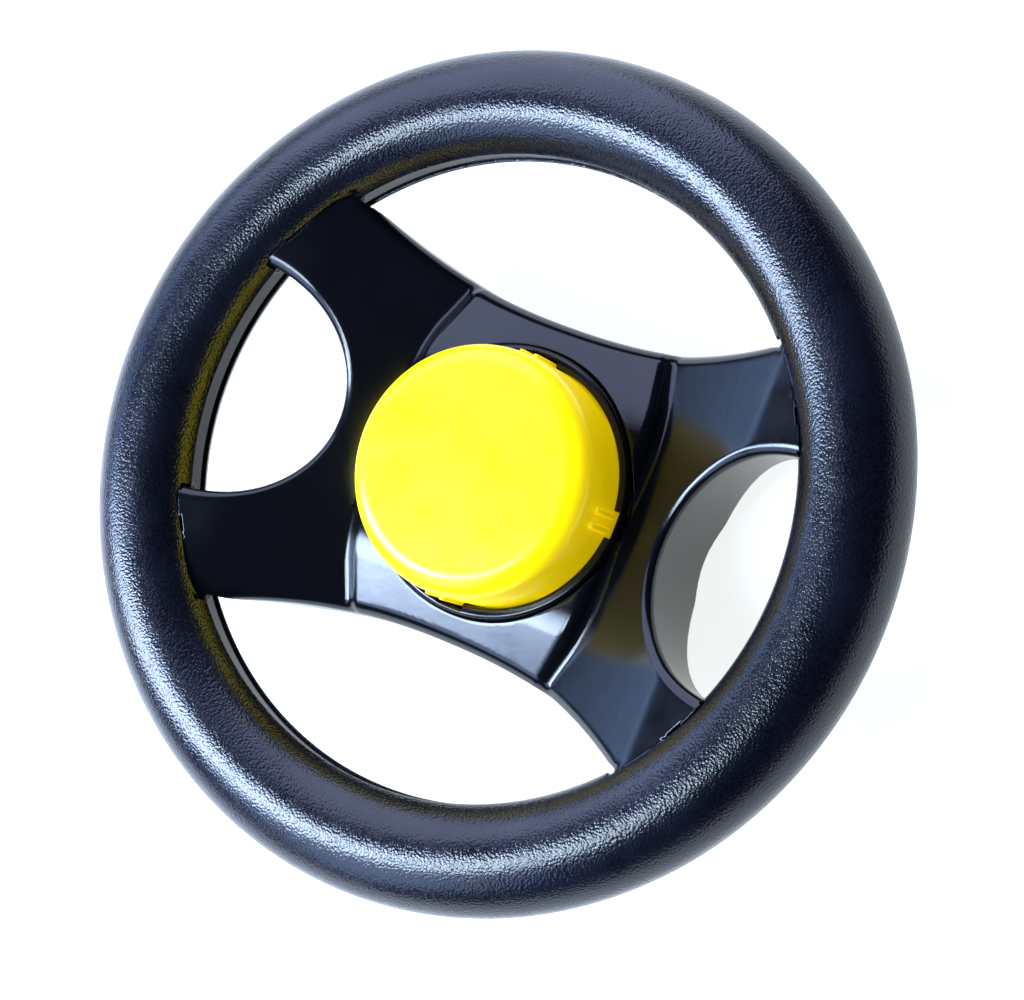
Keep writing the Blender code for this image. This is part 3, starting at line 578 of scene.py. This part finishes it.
def visual_pieces(black, skin, yellow):
    """The four pieces that show, with rounded edges. Their grids reach a little past them."""
    rows = (
        steps(TUBE_BORE - 1.0, KEY_OUTER + 1.2, SPIDER_CELL),
        quarter(SPIDER_TURNS),
        steps(RIM_HEIGHT + HUB_BACK - 1.0, RIM_HEIGHT + SPOKE_TOP + 1.0, SPIDER_CELL),
    )
    spider_piece = mould(
        "spider_moulding", spider, rows, polar, "wheel", ["wheel_spider"]
    )
    dress(spider_piece, black)

    rows = (
        steps(GRIP_INNER - 1.5, WHEEL_RADIUS + 1.2, GRIP_CELLS[0]),
        quarter(GRIP_TURNS),
        steps(grip_low[2] - 1, grip_high[2] + 1, GRIP_CELLS[1]),
    )
    dress(mould("grip_skin", grip, rows, polar, "wheel", ["rim_grip"]), skin)

    across = from_middle(CAP_RADIUS + RIB_PROUD + 1, CAP_CELL)
    rows = (across, across, steps(CAP_BOTTOM - 1, CAP_TOP + 1, CAP_CELL))
    dress(mould("horn_cap_shell", cap, rows, plain, "horn", ["horn_cap"]), yellow)

    rows = (
        steps(BEZEL_INNER - 0.8, BEZEL_OUTER + 0.8, BEZEL_CELL),
        quarter(BEZEL_TURNS),
        steps(BEZEL_BOTTOM - 1, BEZEL_TOP + 1, BEZEL_CELL),
    )
    dress(mould("bezel_ring", bezel, rows, polar, "wheel", ["horn_bezel"]), black)


def build_pieces():
    black = moulded_plastic(
        "black_gloss_plastic", (0.004, 0.0045, 0.006), (0.03, 0.032, 0.038), 0.17
    )
    satin = moulded_plastic(
        "black_satin_plastic", (0.008, 0.0085, 0.01), (0.03, 0.031, 0.034), 0.36
    )
    # the yellow cap is given a painted glow, an emission that lightens its shaded sides
    yellow = moulded_plastic(
        "yellow_plastic", (1.0, 0.76, 0.003), (1.0, 0.85, 0.12), 0.3, 0.1, 3e-5, (1.0, 0.72, 0.0)
    )
    nylon = moulded_plastic("white_nylon", (0.72, 0.71, 0.66), (0.85, 0.84, 0.8), 0.45)
    skin = grained_skin("black_grained_skin")
    zinc = brushed_metal("zinc_plated_steel", (0.62, 0.64, 0.66), 0.34)
    steel = brushed_metal("ground_steel", (0.55, 0.55, 0.56), 0.28)
    wire = brushed_metal("spring_wire", (0.42, 0.42, 0.44), 0.3)
    rubber = soft_rubber("red_rubber", (0.35, 0.03, 0.02))

    visual_pieces(black, skin, yellow)

    screws = [f"{kind}_{i}" for kind in ("cover_screw", "horn_base_screw") for i in range(1, 5)]
    finishes = {
        black: ["mounting_base"],
        satin: ["back_cover", "horn_base"],
        nylon: ["rear_bush", "front_bush", "squeaker_reed"],
        steel: ["axle_sleeve", "thrust_washer"],
        zinc: ["axle_bolt", "nut_washer", "lock_nut"] + screws,
        wire: ["return_spring"],
        rubber: ["squeaker_bellows"],
    }
    for material, nodes in finishes.items():
        for node in nodes:
            dress(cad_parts[node], material)


# Stage


def turned_to(thing, aim, roll=0.0):
    """Points a camera or a light at a place, then rolls it about its own axis."""
    aimed = (Vector(aim) - thing.location).to_track_quat("-Z", "Y")
    thing.rotation_mode = "QUATERNION"
    thing.rotation_quaternion = aimed @ Quaternion((0, 0, 1), math.radians(roll))


WHEEL_CENTRE = Vector((0.0, 0.0, RIM_HEIGHT * MM))


def seen_from(azimuth, elevation, distance):
    """The place at a distance from the wheel's middle. Azimuth turns from +X towards +Y."""
    a, e = math.radians(azimuth), math.radians(elevation)
    way = Vector((math.cos(a) * math.cos(e), math.sin(a) * math.cos(e), math.sin(e)))
    return WHEEL_CENTRE + way * distance


def add_camera():
    data = bpy.data.cameras.new("camera")
    data.lens, data.sensor_width = LENS, SENSOR
    camera = bpy.data.objects.new("camera", data)
    bpy.context.scene.collection.objects.link(camera)
    camera.location = (CAMERA_X, CAMERA_Y, CAMERA_Z)
    turned_to(camera, (AIM_X, CAMERA_Y, RIM_HEIGHT * MM), CAMERA_ROLL)
    bpy.context.scene.camera = camera


def softbox(name, azimuth, elevation, width, length, radiance, colour):
    """A rectangular light that faces the wheel, with its width lying along Y as far as it can."""
    data = bpy.data.lights.new(name, "AREA")
    data.shape, data.size, data.size_y = "RECTANGLE", width, length
    data.energy = radiance * math.pi * width * length
    data.color = colour
    light = bpy.data.objects.new(name, data)
    bpy.context.scene.collection.objects.link(light)
    light.location = seen_from(azimuth, elevation, LIGHT_DISTANCE)
    away = (light.location - WHEEL_CENTRE).normalized()
    across = (Vector((0, 1, 0)) - away * away.y).normalized()
    light.rotation_euler = Matrix((across, away.cross(across), away)).transposed().to_euler()


def sky():
    """A dim studio, paler towards the horizon."""
    world = bpy.data.worlds.new("studio")
    world.use_nodes = True
    tree = world.node_tree
    way = tree.nodes.new("ShaderNodeTexCoord").outputs["Generated"]
    height = tree.nodes.new("ShaderNodeSeparateXYZ")
    tree.links.new(way, height.inputs[0])
    rise = tree.nodes.new("ShaderNodeMapRange")
    rise.interpolation_type = "SMOOTHSTEP"
    rise.inputs["From Max"].default_value = SKY_RISE
    tree.links.new(height.outputs["Z"], rise.inputs["Value"])
    blend = tree.nodes.new("ShaderNodeMix")
    blend.data_type = "RGBA"
    blend.inputs[6].default_value = (*SKY_LOW, 1.0)
    blend.inputs[7].default_value = (*SKY_HIGH, 1.0)
    tree.links.new(rise.outputs["Result"], blend.inputs["Factor"])
    tree.links.new(blend.outputs[2], tree.nodes["Background"].inputs["Color"])
    bpy.context.scene.world = world


def add_stage():
    sky()
    bpy.context.scene.view_settings.view_transform = "Standard"
    bpy.context.scene.view_settings.look = "Medium High Contrast"

    for light in SOFTBOXES:
        softbox(*light)

    mesh = bpy.data.meshes.new("floor")
    reach = FLOOR_HALF
    square = [(-reach, -reach, 0), (reach, -reach, 0), (reach, reach, 0), (-reach, reach, 0)]
    mesh.from_pydata(square, [], [(0, 1, 2, 3)])
    floor = bpy.data.objects.new("floor", mesh)
    bpy.context.scene.collection.objects.link(floor)
    made = Nodes("pale_floor")
    made.drive("Base Color", made.mix(made.noise(4.0), (0.4, 0.41, 0.41), (0.43, 0.43, 0.43)))
    made.set(Emission_Color=(0.96, 1.0, 0.98, 1.0), Emission_Strength=0.75)
    made.drive("Roughness", made.spread(made.noise(30.0), 0.3, 0.7, 0.55, 0.65))
    dress(floor, made.material)


add_camera()
build_pieces()
add_stage()
